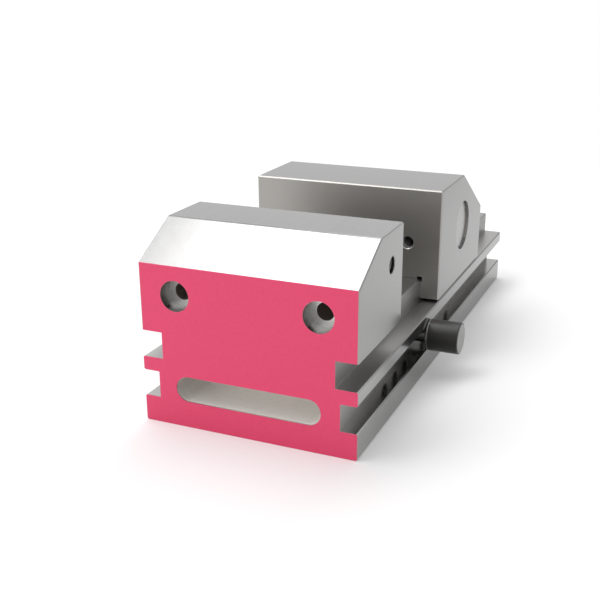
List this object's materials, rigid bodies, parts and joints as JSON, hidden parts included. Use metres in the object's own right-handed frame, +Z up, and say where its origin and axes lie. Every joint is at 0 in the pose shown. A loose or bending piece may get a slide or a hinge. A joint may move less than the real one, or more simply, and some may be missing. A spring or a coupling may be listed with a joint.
{
  "type": "precision grinding vise",
  "caption": "Ground steel vise with a fixed front jaw, a moving jaw pulled down and in by an angled screw, and an index pin with a knob in a row of cross holes.",
  "frame": {"origin": "centre of the ground underside of the body", "axes": "+X to the right seen from the fixed jaw's end, where the knob is; +Y from the fixed jaw's end to the rear; +Z up from the ground underside"},
  "size_m": [0.0815, 0.1842, 0.0615],
  "materials": {
    "ground_steel": "fine ground hardened steel, polished sides",
    "bright_steel": "turned and polished steel",
    "black_screw": "black oxide",
    "black_steel": "black oxide, hardened",
    "spring_steel": "oiled spring steel",
    "black_sleeve": "satin black",
    "rubber": "matt"
  },
  "bodies": {
    "base": {"body": "ground_steel"},
    "jaw": {"movable_jaw": "ground_steel"},
    "barrel": {"pivot_barrel": "ground_steel"},
    "screw": {"clamping_screw": "black_screw", "head_washer": "bright_steel", "lower_washer": "bright_steel", "keeper_ring": "spring_steel"},
    "puller": {"pull_block": "black_steel", "return_spring": "spring_steel"},
    "pin": {"index_pin": "bright_steel", "pin_collar": "bright_steel", "knob_sleeve": "black_sleeve", "pin_ring": "rubber"}
  },
  "joints": [
    {"name": "jaw_slide", "type": "slide", "parent": "base", "child": "jaw", "axis": [0, 1, 0], "range_m": [-0.012, 0.0006]},
    {"name": "barrel_tilt", "type": "hinge", "parent": "jaw", "child": "barrel", "pos_m": [0, 0.0203, 0.04235], "axis": [1, 0, 0], "range_deg": [-0.6, 10]},
    {"name": "screw_turn", "type": "hinge", "parent": "barrel", "child": "screw", "pos_m": [0, 0.0203, 0.04235], "axis": [0, 0.8159, 0.5781], "range_deg": [-2670, 138]},
    {"name": "block_tilt", "type": "hinge", "parent": "base", "child": "puller", "pos_m": [0, -0.0207, 0.0133], "axis": [1, 0, 0], "range_deg": [-0.6, 10], "deforming": ["return_spring"]},
    {"name": "pin_pull", "type": "slide", "parent": "base", "child": "pin", "axis": [1, 0, 0], "range_m": [0, 0.058]}
  ],
  "couplings": [
    {"joint": "barrel_tilt", "follows": "jaw_slide", "rad_per_m": -13.664},
    {"joint": "block_tilt", "follows": "jaw_slide", "rad_per_m": -13.664},
    {"joint": "screw_turn", "follows": "jaw_slide", "rad_per_m": 3854}
  ]
}
